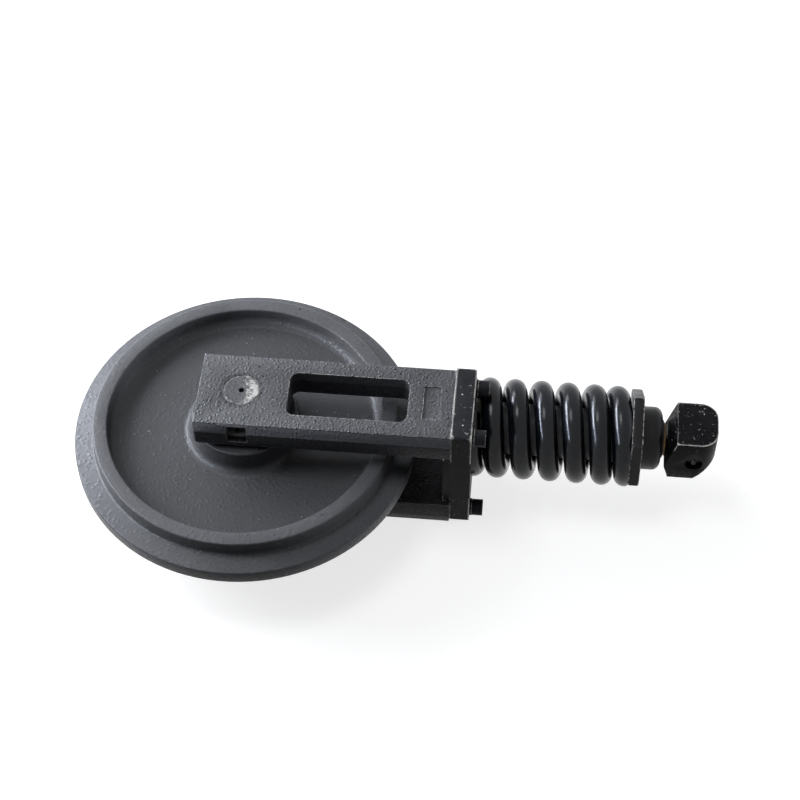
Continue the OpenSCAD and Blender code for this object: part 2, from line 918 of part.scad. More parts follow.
module grease_nipple() {
    base_y = axis_y - block_w / 2 + valve_pocket_depth - valve_head_h;
    color(bare_steel) translate([valve_x, base_y, valve_z]) rotate([90, 0, 0]) rotate_extrude() polygon([
        [nipple_bore_r, 0], [nipple_r, 0], [nipple_r, nipple_shoulder],
        [nipple_r - nipple_neck, nipple_neck_at],
        [nipple_tip_r - nipple_round, nipple_ball_at], [nipple_r - nipple_round, nipple_len],
        [nipple_bore_r, nipple_len]
    ]);
}

idler_wheel();
upper_bush();
lower_bush();
upper_hub_seal_ring();
lower_hub_seal_ring();
upper_hub_toric();
lower_hub_toric();
upper_arm();
lower_arm();
idler_shaft();
lock_pins();
shaft_o_rings();
upper_arm_seal_ring();
lower_arm_seal_ring();
upper_arm_toric();
lower_arm_toric();
yoke_plate();
guide_bush();
yoke_bolts();
yoke_washers();
recoil_spring();
grease_cylinder();
spring_nut();
rod_guide();
rod_wiper();
piston_rod();
piston_seal();
wear_ring();
end_block();
grease_valve();
grease_nipple();
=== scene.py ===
"""Looks of a small excavator's front idler: wheel, fork arms, recoil spring and grease track adjuster."""

import logging
import math
from dataclasses import dataclass
from enum import Enum
from typing import Any, Sequence

import bmesh
import bpy
from mathutils import Matrix, Vector


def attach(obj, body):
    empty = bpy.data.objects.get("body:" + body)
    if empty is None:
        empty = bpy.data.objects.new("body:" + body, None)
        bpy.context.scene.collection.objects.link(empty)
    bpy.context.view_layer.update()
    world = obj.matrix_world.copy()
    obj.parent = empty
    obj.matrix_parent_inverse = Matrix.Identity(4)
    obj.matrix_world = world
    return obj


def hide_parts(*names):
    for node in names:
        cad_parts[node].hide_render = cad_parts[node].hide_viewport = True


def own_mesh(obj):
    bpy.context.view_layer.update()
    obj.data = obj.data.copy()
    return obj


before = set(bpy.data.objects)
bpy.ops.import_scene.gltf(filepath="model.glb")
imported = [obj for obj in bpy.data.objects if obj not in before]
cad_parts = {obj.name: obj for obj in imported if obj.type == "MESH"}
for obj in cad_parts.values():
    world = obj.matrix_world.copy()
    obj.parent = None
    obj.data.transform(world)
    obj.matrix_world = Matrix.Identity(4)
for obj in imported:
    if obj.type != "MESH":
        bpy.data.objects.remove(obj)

MM = 0.001
AXIS_Y = 30.0 * MM
log = logging.getLogger("front_idler")


class Body(Enum):
    """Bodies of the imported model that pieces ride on."""

    FORK = "fork"
    WHEEL = "wheel"
    CYLINDER = "cylinder"
    ROD = "rod"


class Slot(Enum):
    """Names of the record's material slots."""

    CAST = "cast_grey"
    BLACK = "black_paint"
    SPRING = "spring_enamel"
    SCREW = "black_oxide"


def linear(hex_colour: str) -> tuple[float, float, float, float]:
    """Turns an sRGB hex value into a linear colour.

    Args:
        hex_colour: A colour such as "#5d5e63".

    Returns:
        Red, green, blue and alpha, linear.
    """
    parts = [int(hex_colour[i:i + 2], 16) / 255 for i in (1, 3, 5)]
    red, green, blue = (c / 12.92 if c <= 0.04045 else ((c + 0.055) / 1.055) ** 2.4 for c in parts)
    return red, green, blue, 1.0


def per_mm(size: float) -> float:
    """Gives the texture scale, on Object coordinates in metres, of features that are size mm across."""
    return 1.0 / (size * MM)


def add_node(tree: bpy.types.NodeTree, kind: str, inputs: dict[Any, Any] | None = None,
             **settings: Any) -> bpy.types.Node:
    """Adds one node with its settings and links.

    Args:
        tree: The node tree that gets the node.
        kind: The node's type, such as "ShaderNodeTexNoise".
        inputs: For each input, by name or index, a socket to link or a plain value.
        **settings: The node's own properties.

    Returns:
        The new node.
    """
    node = tree.nodes.new(kind)
    for key, value in settings.items():
        setattr(node, key, value)
    for key, value in (inputs or {}).items():
        if isinstance(value, bpy.types.NodeSocket):
            tree.links.new(value, node.inputs[key])
        else:
            node.inputs[key].default_value = value
    return node


@dataclass(frozen=True)
class Finish:
    """A surface finish that builds one procedural material."""

    name: str

    def material(self) -> bpy.types.Material:
        """Builds the material, once for each name.

        Returns:
            The material of this finish.
        """
        found = bpy.data.materials.get(self.name)
        if found is not None:
            return found
        made = bpy.data.materials.new(self.name)
        made.use_nodes = True
        tree = made.node_tree
        tree.nodes.clear()
        output = add_node(tree, "ShaderNodeOutputMaterial")
        surface = add_node(tree, "ShaderNodeBsdfPrincipled")
        tree.links.new(surface.outputs["BSDF"], output.inputs["Surface"])
        coords = add_node(tree, "ShaderNodeTexCoord").outputs["Object"]
        self.paint(tree, coords, surface)
        return made

    def paint(self, tree: bpy.types.NodeTree, coords: bpy.types.NodeSocket,
              surface: bpy.types.Node) -> None:
        """Adds the finish's own nodes between the coordinates and the surface shader."""
        raise NotImplementedError


def spots(tree: bpy.types.NodeTree, coords: bpy.types.NodeSocket, cell: float, size: float,
          share: float, core: float = 0.6) -> bpy.types.NodeSocket:
    """Scatters soft round spots, one at most in each cell of a random pattern.

    Args:
        tree: The node tree to work in.
        coords: The coordinates that the pattern reads.
        cell: Mean distance between the cells, in mm.
        size: Diameter of a spot, in mm.
        share: Share of the cells that have a spot, from 0 to 1.
        core: Share of a spot's radius over which it is full, from 0 to 1.

    Returns:
        A socket that is 1 in a spot and 0 elsewhere.
    """
    cells = add_node(tree, "ShaderNodeTexVoronoi", {"Vector": coords, "Scale": per_mm(cell)})
    reach = size / cell / 2
    round_spot = add_node(tree, "ShaderNodeMapRange", {
        "Value": cells.outputs["Distance"], "From Min": reach * core, "From Max": reach,
        "To Min": 1.0, "To Max": 0.0})
    hue = add_node(tree, "ShaderNodeSeparateColor", {"Color": cells.outputs["Color"]})
    chosen = add_node(tree, "ShaderNodeMath", {0: hue.outputs["Red"], 1: share}, operation="LESS_THAN")
    both = add_node(tree, "ShaderNodeMath", {0: round_spot.outputs["Result"], 1: chosen.outputs["Value"]},
                    operation="MULTIPLY")
    return both.outputs["Value"]


def worn_edges(tree: bpy.types.NodeTree, coords: bpy.types.NodeSocket, reach: float, patch: float,
               amount: float) -> bpy.types.NodeSocket:
    """Finds the strips along outer edges where paint has worn off, broken up into patches.

    Args:
        tree: The node tree to work in.
        coords: The coordinates that the patches read.
        reach: Width of the strip beside an edge, in mm.
        patch: Size of the worn patches, in mm.
        amount: How much of the strip is worn, from 0 to 1.

    Returns:
        A socket that is 1 where the paint is gone.
    """
    depth = add_node(tree, "ShaderNodeAmbientOcclusion", {"Distance": reach * MM}, samples=8,
                     inside=True, only_local=True)
    near_edge = add_node(tree, "ShaderNodeMapRange", {
        "Value": depth.outputs["AO"], "From Min": 0.92, "From Max": 0.55, "To Min": 0.0, "To Max": 1.0})
    breakup = add_node(tree, "ShaderNodeTexNoise", {
        "Vector": coords, "Scale": per_mm(patch), "Detail": 5.0, "Roughness": 0.65})
    product = add_node(tree, "ShaderNodeMath", {
        0: near_edge.outputs["Result"], 1: breakup.outputs["Fac"]}, operation="MULTIPLY")
    start = 0.5 - 0.45 * amount
    worn = add_node(tree, "ShaderNodeMapRange", {
        "Value": product.outputs["Value"], "From Min": start, "From Max": start + 0.08})
    return worn.outputs["Result"]


@dataclass(frozen=True)
class CastPaint(Finish):
    """Satin paint over sand-cast iron.

    The cast skin gives the eye low lumps, a fine grain and some pits, and the paint a soft, slightly
    uneven sheen that lightens at the corners, partly handled paint and partly painted highlights.
    """

    colour: str = "#5f6063"
    shade: str = "#4f5053"
    pit_colour: str = "#26272a"
    dust_colour: str = "#98999b"
    worn_and_highlight_colour: str = "#aeafae"
    disc_colour: str = "#414244"
    disc_r: float = 0.0
    painted_light_band_colour: str = "#90939b"
    painted_under_shade_colour: str = "#303134"
    band_from: float = 0.0
    band_to: float = 0.0
    band_side: float = 44.0
    cloud: float = 55.0
    grain: float = 3.0
    lump_cell: float = 3.6
    lump_size: float = 3.6
    lump_share: float = 0.85
    dust_cell: float = 5.0
    dust_size: float = 1.5
    pit_cell: float = 7.0
    pit_size: float = 2.9
    pit_share: float = 0.22
    dust_share: float = 0.03
    grain_height: float = 0.72
    lump_height: float = 0.85
    pit_depth: float = 0.6
    wear_and_highlight: float = 0.28
    wear_reach: float = 2.6
    wear_patch: float = 8.0
    roughness: float = 0.42
    specular: float = 0.1

    def disc(self, tree: bpy.types.NodeTree, place: bpy.types.Node) -> bpy.types.NodeSocket:
        """Marks a darker disc about the axis: the wheel's web, and painted shade round the shaft on the arm.

        Args:
            tree: The node tree to work in.
            place: The node that separates the coordinates.

        Returns:
            A socket that is 0.8 on the disc and 0 outside it.
        """
        flat = add_node(tree, "ShaderNodeCombineXYZ", {"X": place.outputs["X"], "Y": place.outputs["Y"]})
        reach = add_node(tree, "ShaderNodeVectorMath", {0: flat.outputs["Vector"]}, operation="LENGTH")
        inside = add_node(tree, "ShaderNodeMapRange", {
            "Value": reach.outputs["Value"], "From Min": (self.disc_r - 4.0) * MM,
            "From Max": self.disc_r * MM, "To Min": 0.8, "To Max": 0.0})
        return inside.outputs["Result"]

    def side_bands(self, tree: bpy.types.NodeTree,
                   place: bpy.types.Node) -> list[tuple[bpy.types.NodeSocket, str]]:
        """Marks painted shade nearer the middle than the parting line and painted light on the side above it.

        Args:
            tree: The node tree to work in.
            place: The node that separates the coordinates.

        Returns:
            The mask and the colour of each band, in the order they are laid on.
        """
        over_parting = add_node(tree, "ShaderNodeMapRange", {
            "Value": place.outputs["Z"], "From Min": (self.band_from - 0.4) * MM,
            "From Max": self.band_from * MM})
        below_face = add_node(tree, "ShaderNodeMapRange", {
            "Value": place.outputs["Z"], "From Min": (self.band_to - 0.6) * MM,
            "From Max": self.band_to * MM, "To Min": 1.0, "To Max": 0.0})
        from_middle = add_node(tree, "ShaderNodeMath", {0: place.outputs["Z"]}, operation="ABSOLUTE")
        # Painted shade: on both arms, everything nearer the middle than the parting line is darker.
        painted_under_shade = add_node(tree, "ShaderNodeMapRange", {
            "Value": from_middle.outputs["Value"], "From Min": (self.band_from - 0.4) * MM,
            "From Max": self.band_from * MM, "To Min": 0.75, "To Max": 0.0})
        from_axis = add_node(tree, "ShaderNodeMath", {0: place.outputs["Y"]}, operation="ABSOLUTE")
        on_side = add_node(tree, "ShaderNodeMapRange", {
            "Value": from_axis.outputs["Value"], "From Min": (self.band_side - 1.0) * MM,
            "From Max": self.band_side * MM})
        # Painted light: the upper arm's sides are paler between the parting line and the top face.
        painted_light_band = add_node(tree, "ShaderNodeMath", {
            0: over_parting.outputs["Result"], 1: below_face.outputs["Result"]}, operation="MULTIPLY")
        painted_light_band = add_node(tree, "ShaderNodeMath", {
            0: painted_light_band.outputs["Value"], 1: on_side.outputs["Result"]}, operation="MULTIPLY")
        return [(painted_under_shade.outputs["Result"], self.painted_under_shade_colour), (painted_light_band.outputs["Value"], self.painted_light_band_colour)]

    def paint(self, tree: bpy.types.NodeTree, coords: bpy.types.NodeSocket,
              surface: bpy.types.Node) -> None:
        """Adds the cast skin, the uneven paint, the pits, the dust and the worn edges, also painted highlights.
        """
        cloud = add_node(tree, "ShaderNodeTexNoise", {
            "Vector": coords, "Scale": per_mm(self.cloud), "Detail": 3.0})
        grain = add_node(tree, "ShaderNodeTexNoise", {
            "Vector": coords, "Scale": per_mm(self.grain), "Detail": 3.0, "Roughness": 0.6})
        lumps = spots(tree, coords, self.lump_cell, self.lump_size, self.lump_share, 0.0)
        pits = spots(tree, coords, self.pit_cell, self.pit_size, self.pit_share)
        dust = spots(tree, coords, self.dust_cell, self.dust_size, self.dust_share)
        worn = worn_edges(tree, coords, self.wear_reach, self.wear_patch, self.wear_and_highlight)
        surface.inputs["Specular IOR Level"].default_value = self.specular
        blend = add_node(tree, "ShaderNodeMath", {
            0: cloud.outputs["Fac"], 1: grain.outputs["Fac"]}, operation="ADD")
        tone = add_node(tree, "ShaderNodeMapRange", {
            "Value": blend.outputs["Value"], "From Min": 0.7, "From Max": 1.3})
        colour = add_node(tree, "ShaderNodeMix", {
            "Factor": tone.outputs["Result"], "A": linear(self.colour), "B": linear(self.shade)},
            data_type="RGBA")
        # The worn layer is handled paint on the edges and also painted highlights there.
        layers = [(pits, self.pit_colour), (dust, self.dust_colour), (worn, self.worn_and_highlight_colour)]
        place = add_node(tree, "ShaderNodeSeparateXYZ", {"Vector": coords})
        if self.band_to > 0.0:
            layers = self.side_bands(tree, place) + layers
        # On the wheel the disc darkens the web; on the arm it is painted shade round the shaft's end.
        if self.disc_r > 0.0:
            layers.insert(0, (self.disc(tree, place), self.disc_colour))
        for mask, over in layers:
            colour = add_node(tree, "ShaderNodeMix", {
                "Factor": mask, "A": colour.outputs["Result"], "B": linear(over)}, data_type="RGBA")
        tree.links.new(colour.outputs["Result"], surface.inputs["Base Color"])
        sheen = add_node(tree, "ShaderNodeMapRange", {
            "Value": grain.outputs["Fac"], "From Min": 0.3, "From Max": 0.7,
            "To Min": self.roughness - 0.07, "To Max": self.roughness + 0.1})
        tree.links.new(sheen.outputs["Result"], surface.inputs["Roughness"])
        height = add_node(tree, "ShaderNodeMath", {
            0: grain.outputs["Fac"], 1: self.grain_height}, operation="MULTIPLY")
        height = add_node(tree, "ShaderNodeMath", {
            0: lumps, 1: self.lump_height, 2: height.outputs["Value"]}, operation="MULTIPLY_ADD")
        height = add_node(tree, "ShaderNodeMath", {
            0: pits, 1: -self.pit_depth, 2: height.outputs["Value"]}, operation="MULTIPLY_ADD")
        bump = add_node(tree, "ShaderNodeBump", {
            "Height": height.outputs["Value"], "Distance": MM, "Strength": 1.0})
        tree.links.new(bump.outputs["Normal"], surface.inputs["Normal"])


@dataclass(frozen=True)
class ChippedPaint(Finish):
    """Black paint over machined or flame-cut steel.

    It looks nearly black and half dull, with bright bare steel where edges and flats were knocked.
    """

    colour: str = "#0a0a0c"
    shade: str = "#161719"
    metal: str = "#b9b8b4"
    roughness: float = 0.42
    specular: float = 0.06
    edge: float = 3.2
    edge_patch: float = 7.0
    edge_wear: float = 0.22
    chip_patch: float = 5.0
    chip_level: float = 0.70
    bump_height: float = 0.12
    worn_beyond: float = 0.0

    def paint(self, tree: bpy.types.NodeTree, coords: bpy.types.NodeSocket,
              surface: bpy.types.Node) -> None:
        """Adds the uneven black, the chips on edges and flats, and the step at a chip's rim."""
        cloud = add_node(tree, "ShaderNodeTexNoise", {
            "Vector": coords, "Scale": per_mm(12.0), "Detail": 5.0, "Roughness": 0.6})
        flaw = add_node(tree, "ShaderNodeTexNoise", {
            "Vector": coords, "Scale": per_mm(self.chip_patch), "Detail": 6.0, "Roughness": 0.7})
        worn = worn_edges(tree, coords, self.edge, self.edge_patch, self.edge_wear)
        surface.inputs["Specular IOR Level"].default_value = self.specular
        chips = add_node(tree, "ShaderNodeMapRange", {
            "Value": flaw.outputs["Fac"], "From Min": self.chip_level, "From Max": self.chip_level + 0.02})
        bare = add_node(tree, "ShaderNodeMath", {0: worn, 1: chips.outputs["Result"]}, operation="MAXIMUM")
        place = add_node(tree, "ShaderNodeSeparateXYZ", {"Vector": coords})
        from_middle = add_node(tree, "ShaderNodeMath", {0: place.outputs["Z"]}, operation="ABSOLUTE")
        knocked = add_node(tree, "ShaderNodeMapRange", {
            "Value": from_middle.outputs["Value"], "From Min": (self.worn_beyond - 4.0) * MM,
            "From Max": self.worn_beyond * MM})
        bare = add_node(tree, "ShaderNodeMath", {
            0: bare.outputs["Value"], 1: knocked.outputs["Result"]}, operation="MULTIPLY")
        black = add_node(tree, "ShaderNodeMix", {
            "Factor": cloud.outputs["Fac"], "A": linear(self.colour), "B": linear(self.shade)},
            data_type="RGBA")
        colour = add_node(tree, "ShaderNodeMix", {
            "Factor": bare.outputs["Value"], "A": black.outputs["Result"], "B": linear(self.metal)},
            data_type="RGBA")
        tree.links.new(colour.outputs["Result"], surface.inputs["Base Color"])
        metal = add_node(tree, "ShaderNodeMath", {0: bare.outputs["Value"], 1: 0.55}, operation="MULTIPLY")
        tree.links.new(metal.outputs["Value"], surface.inputs["Metallic"])
        sheen = add_node(tree, "ShaderNodeMapRange", {
            "Value": cloud.outputs["Fac"], "From Min": 0.3, "From Max": 0.7,
            "To Min": self.roughness - 0.1, "To Max": self.roughness + 0.12})
        tree.links.new(sheen.outputs["Result"], surface.inputs["Roughness"])
        height = add_node(tree, "ShaderNodeMath", {
            0: cloud.outputs["Fac"], 1: self.bump_height}, operation="MULTIPLY")
        height = add_node(tree, "ShaderNodeMath", {
            0: bare.outputs["Value"], 1: -0.12, 2: height.outputs["Value"]}, operation="MULTIPLY_ADD")
        bump = add_node(tree, "ShaderNodeBump", {
            "Height": height.outputs["Value"], "Distance": MM, "Strength": 1.0})
        tree.links.new(bump.outputs["Normal"], surface.inputs["Normal"])


@dataclass(frozen=True)
class SpringEnamel(Finish):
    """Dipped black enamel on hot-wound spring steel: deep black, glossy, with a faint orange peel."""

    colour: str = "#0b0e13"
    shade: str = "#181c23"
    dust_colour: str = "#6f7174"
    roughness: float = 0.18
    specular: float = 0.24

    def paint(self, tree: bpy.types.NodeTree, coords: bpy.types.NodeSocket,
              surface: bpy.types.Node) -> None:
        """Adds the enamel's colour, its orange peel and a little dust."""
        cloud = add_node(tree, "ShaderNodeTexNoise", {
            "Vector": coords, "Scale": per_mm(18.0), "Detail": 4.0})
        peel = add_node(tree, "ShaderNodeTexNoise", {
            "Vector": coords, "Scale": per_mm(5.0), "Detail": 2.0})
        dust = spots(tree, coords, 9.0, 1.2, 0.05)
        surface.inputs["Specular IOR Level"].default_value = self.specular
        black = add_node(tree, "ShaderNodeMix", {
            "Factor": cloud.outputs["Fac"], "A": linear(self.colour), "B": linear(self.shade)},
            data_type="RGBA")
        colour = add_node(tree, "ShaderNodeMix", {
            "Factor": dust, "A": black.outputs["Result"], "B": linear(self.dust_colour)}, data_type="RGBA")
        tree.links.new(colour.outputs["Result"], surface.inputs["Base Color"])
        sheen = add_node(tree, "ShaderNodeMapRange", {
            "Value": cloud.outputs["Fac"], "From Min": 0.3, "From Max": 0.7,
            "To Min": self.roughness - 0.06, "To Max": self.roughness + 0.1})
        tree.links.new(sheen.outputs["Result"], surface.inputs["Roughness"])
        bump = add_node(tree, "ShaderNodeBump", {
            "Height": peel.outputs["Fac"], "Distance": 0.12 * MM, "Strength": 1.0})
        tree.links.new(bump.outputs["Normal"], surface.inputs["Normal"])


@dataclass(frozen=True)
class BareMetal(Finish):
    """Machined metal, with the fine lines of turning or grinding and a film of oil."""

    colour: str = "#a8a7a2"
    shade: str = "#77756f"
    roughness: float = 0.34
    line: float = 1.2

    def paint(self, tree: bpy.types.NodeTree, coords: bpy.types.NodeSocket,
              surface: bpy.types.Node) -> None:
        """Adds the machining lines and the oil film; the lines are drawn coarse enough to show."""
        film = add_node(tree, "ShaderNodeTexNoise", {
            "Vector": coords, "Scale": per_mm(9.0), "Detail": 5.0, "Roughness": 0.6})
        lines = add_node(tree, "ShaderNodeTexNoise", {
            "Vector": coords, "Scale": per_mm(self.line), "Detail": 2.0})
        colour = add_node(tree, "ShaderNodeMix", {
            "Factor": film.outputs["Fac"], "A": linear(self.colour), "B": linear(self.shade)},
            data_type="RGBA")
        tree.links.new(colour.outputs["Result"], surface.inputs["Base Color"])
        surface.inputs["Metallic"].default_value = 1.0
        sheen = add_node(tree, "ShaderNodeMapRange", {
            "Value": film.outputs["Fac"], "From Min": 0.3, "From Max": 0.7,
            "To Min": self.roughness - 0.08, "To Max": self.roughness + 0.14})
        tree.links.new(sheen.outputs["Result"], surface.inputs["Roughness"])
        bump = add_node(tree, "ShaderNodeBump", {
            "Height": lines.outputs["Fac"], "Distance": 0.05 * MM, "Strength": 1.0})
        tree.links.new(bump.outputs["Normal"], surface.inputs["Normal"])


@dataclass(frozen=True)
class RubbedShaftEnd(Finish):
    """Turned steel that was painted over with the arm and worn bare on one side of its end.

    The paint hides the steel but for a ragged bright patch with fine turning marks, and a broken bright
    line along the rim that is bare steel and also a painted highlight on the rim's edge.
    """

    colour: str = "#56575a"
    shade: str = "#37383b"
    metal: str = "#c6c5c1"
    inner: float = 5.0
    outer: float = 18.5
    start: float = -7.0
    full: float = 9.0
    ragged: float = 5.0
    grain: float = 2.2
    side_share: float = 0.30
    rim_wear_and_highlight_share: float = 0.26
    bare_from: float = 0.46
    bare_to: float = 0.60

    def paint(self, tree: bpy.types.NodeTree, coords: bpy.types.NodeSocket,
              surface: bpy.types.Node) -> None:
        """Adds the paint, the ragged patch, the bright rim and the turning marks."""
        ragged = add_node(tree, "ShaderNodeTexNoise", {
            "Vector": coords, "Scale": per_mm(self.ragged), "Detail": 6.0, "Roughness": 0.9})
        grain = add_node(tree, "ShaderNodeTexNoise", {
            "Vector": coords, "Scale": per_mm(self.grain), "Detail": 3.0})
        place = add_node(tree, "ShaderNodeSeparateXYZ", {"Vector": coords})
        flat = add_node(tree, "ShaderNodeCombineXYZ", {"X": place.outputs["X"], "Y": place.outputs["Y"]})
        reach = add_node(tree, "ShaderNodeVectorMath", {0: flat.outputs["Vector"]}, operation="LENGTH")
        to_side = add_node(tree, "ShaderNodeMapRange", {
            "Value": place.outputs["X"], "From Min": self.start * MM, "From Max": self.full * MM})
        past_centre = add_node(tree, "ShaderNodeMapRange", {
            "Value": reach.outputs["Value"], "From Min": self.inner * 0.6 * MM,
            "From Max": self.inner * MM})
        inside_rim = add_node(tree, "ShaderNodeMapRange", {
            "Value": reach.outputs["Value"], "From Min": (self.outer - 2.0) * MM,
            "From Max": self.outer * MM, "To Min": 1.0, "To Max": 0.0})
        share = to_side.outputs["Result"]
        for limit in (past_centre, inside_rim):
            share = add_node(tree, "ShaderNodeMath", {0: share, 1: limit.outputs["Result"]},
                             operation="MULTIPLY").outputs["Value"]
        level = add_node(tree, "ShaderNodeMath", {0: share, 1: self.side_share, 2: ragged.outputs["Fac"]},
                         operation="MULTIPLY_ADD")
        # The bright line along the rim is bare steel and also a painted highlight on the rim's edge.
        rim = add_node(tree, "ShaderNodeMath", {
            0: inside_rim.outputs["Result"], 1: -self.rim_wear_and_highlight_share, 2: level.outputs["Value"]},
            operation="MULTIPLY_ADD")
        bare = add_node(tree, "ShaderNodeMapRange", {
            "Value": rim.outputs["Value"], "From Min": self.bare_from, "From Max": self.bare_to})
        mottle = add_node(tree, "ShaderNodeMapRange", {
            "Value": grain.outputs["Fac"], "From Min": 0.38, "From Max": 0.62})
        painted = add_node(tree, "ShaderNodeMix", {
            "Factor": mottle.outputs["Result"], "A": linear(self.colour), "B": linear(self.shade)},
            data_type="RGBA")
        colour = add_node(tree, "ShaderNodeMix", {
            "Factor": bare.outputs["Result"], "A": painted.outputs["Result"], "B": linear(self.metal)},
            data_type="RGBA")
        tree.links.new(colour.outputs["Result"], surface.inputs["Base Color"])
        metal = add_node(tree, "ShaderNodeMath", {0: bare.outputs["Result"], 1: 0.15}, operation="MULTIPLY")
        tree.links.new(metal.outputs["Value"], surface.inputs["Metallic"])
        sheen = add_node(tree, "ShaderNodeMapRange", {
            "Value": bare.outputs["Result"], "To Min": 0.55, "To Max": 0.35})
        tree.links.new(sheen.outputs["Result"], surface.inputs["Roughness"])
        surface.inputs["Specular IOR Level"].default_value = 0.3
        rings = add_node(tree, "ShaderNodeTexWave", {
            "Vector": flat.outputs["Vector"], "Scale": per_mm(22.0), "Distortion": 1.5},
            wave_type="RINGS", rings_direction="SPHERICAL")
        height = add_node(tree, "ShaderNodeMath", {
            0: grain.outputs["Fac"], 1: 2.0, 2: rings.outputs["Fac"]}, operation="MULTIPLY_ADD")
        bump = add_node(tree, "ShaderNodeBump", {
            "Height": height.outputs["Value"], "Distance": 0.12 * MM, "Strength": 1.0})
        tree.links.new(bump.outputs["Normal"], surface.inputs["Normal"])


@dataclass(frozen=True)
class Rubber(Finish):
    """Moulded nitrile rubber, dull and nearly black."""

    colour: str = "#161617"

    def paint(self, tree: bpy.types.NodeTree, coords: bpy.types.NodeSocket,
              surface: bpy.types.Node) -> None:
        """Adds a dull, faintly blotched black."""
        film = add_node(tree, "ShaderNodeTexNoise", {
            "Vector": coords, "Scale": per_mm(4.0), "Detail": 4.0})
        colour = add_node(tree, "ShaderNodeMix", {
            "Factor": film.outputs["Fac"], "A": linear(self.colour), "B": linear("#262627")},
            data_type="RGBA")
        tree.links.new(colour.outputs["Result"], surface.inputs["Base Color"])
        surface.inputs["Roughness"].default_value = 0.7
        bump = add_node(tree, "ShaderNodeBump", {
            "Height": film.outputs["Fac"], "Distance": 0.1 * MM, "Strength": 1.0})
        tree.links.new(bump.outputs["Normal"], surface.inputs["Normal"])


# Smoother than the arms, with a darker web inside the rim; its worn edges are also painted highlights.
WHEEL_PAINT = CastPaint("cast_wheel_satin_paint", colour="#606164", shade="#535457", disc_r=147.0,
                        grain=3.2, grain_height=0.3, lump_height=0.3, lump_cell=5.0, lump_size=4.8,
                        pit_share=0.01, pit_depth=0.2, dust_share=0.06, wear_and_highlight=0.22, roughness=0.36, specular=0.12)
# Coarse sand-cast skin, with painted shade round the shaft and nearer the middle than the parting line,
# and painted light on the upper arm's sides above it.
ARM_PAINT = CastPaint("cast_arm_satin_paint", disc_r=25.0, band_from=65.0, band_to=77.4)
# Dark grey flame-cut plate with bright dashes along its outer edges.
YOKE_PAINT = ChippedPaint("yoke_plate_chipped_black_paint", colour="#202123", shade="#37383b",
                          metal="#cbcac5", edge=4.5, edge_wear=0.42, edge_patch=4.0, chip_level=0.645,
                          chip_patch=4.0, bump_height=0.4, worn_beyond=35.0)
# A little more sheen than the plate, so that the round boss reads.
NUT_PAINT = ChippedPaint("spring_nut_chipped_black_paint", colour="#0e0f11", shade="#191a1d",
                         metal="#cbcac5", specular=0.17, roughness=0.36, edge_wear=0.3, edge_patch=4.0)
# Nearly black, with small bright chips on the flats away from the middle.
BLOCK_PAINT = ChippedPaint("end_block_chipped_black_paint", chip_level=0.64, chip_patch=3.2,
                           edge_wear=0.44, edge_patch=4.0, worn_beyond=20.0)
SCREW_OXIDE = ChippedPaint("socket_screw_black_oxide", colour="#232427", shade="#303135",
                           edge_wear=0.3, edge=1.0, edge_patch=3.0, chip_level=0.9)
SHAFT_END = RubbedShaftEnd("overpainted_shaft_steel")
OILY_STEEL = BareMetal("oily_dark_steel", colour="#3a3a38", shade="#232322", roughness=0.4)
GREASED_CHROME = BareMetal("greased_chrome_rod", colour="#5a4630", shade="#2e241a", roughness=0.38)
TUBE_PAINT = ChippedPaint("grease_cylinder_black_paint", colour="#2c2d32", shade="#3b3c43", specular=0.3,
                          roughness=0.34, edge_wear=0.0, chip_level=0.9)
COIL_ENAMEL = SpringEnamel("recoil_spring_black_enamel")
SEAL_IRON = BareMetal("lapped_seal_iron", colour="#8e8d89", shade="#6f6e6a")
BEARING_BRONZE = BareMetal("bearing_bronze", colour="#b58a4e", shade="#8c6632")
NITRILE = Rubber("nitrile_rubber")


def dress(thing: bpy.types.Object, finish: Finish) -> None:
    """Gives an object one finish in its only material slot."""
    thing.data.materials.clear()
    thing.data.materials.append(finish.material())


def dress_nodes(names: Sequence[str], finish: Finish) -> None:
    """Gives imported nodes, which keep their own shape, one finish."""
    for name in names:
        dress(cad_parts[name], finish)
        log.info("dressed %s", name)


def new_piece(name: str, shape: bmesh.types.BMesh, body: Body, finish: Finish,
              replaced: Sequence[str]) -> bpy.types.Object:
    """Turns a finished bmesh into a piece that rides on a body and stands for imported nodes.

    Args:
        name: The piece's name.
        shape: The bmesh, which is freed.
        body: The body that carries the piece.
        finish: The finish of the whole piece.
        replaced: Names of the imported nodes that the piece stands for.

    Returns:
        The new object.
    """
    mesh = bpy.data.meshes.new(name)
    shape.to_mesh(mesh)
    shape.free()
    mesh.polygons.foreach_set("use_smooth", [True] * len(mesh.polygons))
    mesh.set_sharp_from_angle(angle=math.radians(40))
    piece = bpy.data.objects.new(name, mesh)
    bpy.context.scene.collection.objects.link(piece)
    dress(piece, finish)
    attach(piece, body.value)
    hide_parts(*replaced)
    log.info("built %s: %d faces on %s", name, len(mesh.polygons), body.value)
    return piece


def softened(node: str, width: float, segments: int = 3, angle: float = 25.0) -> bmesh.types.BMesh:
    """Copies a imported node's solid and rounds its outer edges.

    Args:
        node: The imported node.
        width: Width of the rounding, in mm.
        segments: Steps across the rounding.
        angle: Smallest angle between two faces that counts as an edge, in degrees.

    Returns:
        The rounded copy.
    """
    shape = bmesh.new()
    shape.from_mesh(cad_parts[node].data)
    bmesh.ops.remove_doubles(shape, verts=shape.verts, dist=0.002 * MM)
    bmesh.ops.dissolve_limit(shape, angle_limit=math.radians(0.5), verts=shape.verts, edges=shape.edges)
    least = math.radians(angle)
    sharp = [e for e in shape.edges if len(e.link_faces) == 2 and e.calc_face_angle(0.0) > least]
    bmesh.ops.bevel(shape, geom=sharp, offset=width * MM, offset_type="OFFSET", segments=segments,
                    profile=0.5, affect="EDGES", material=-1, clamp_overlap=True, loop_slide=True)
    return shape


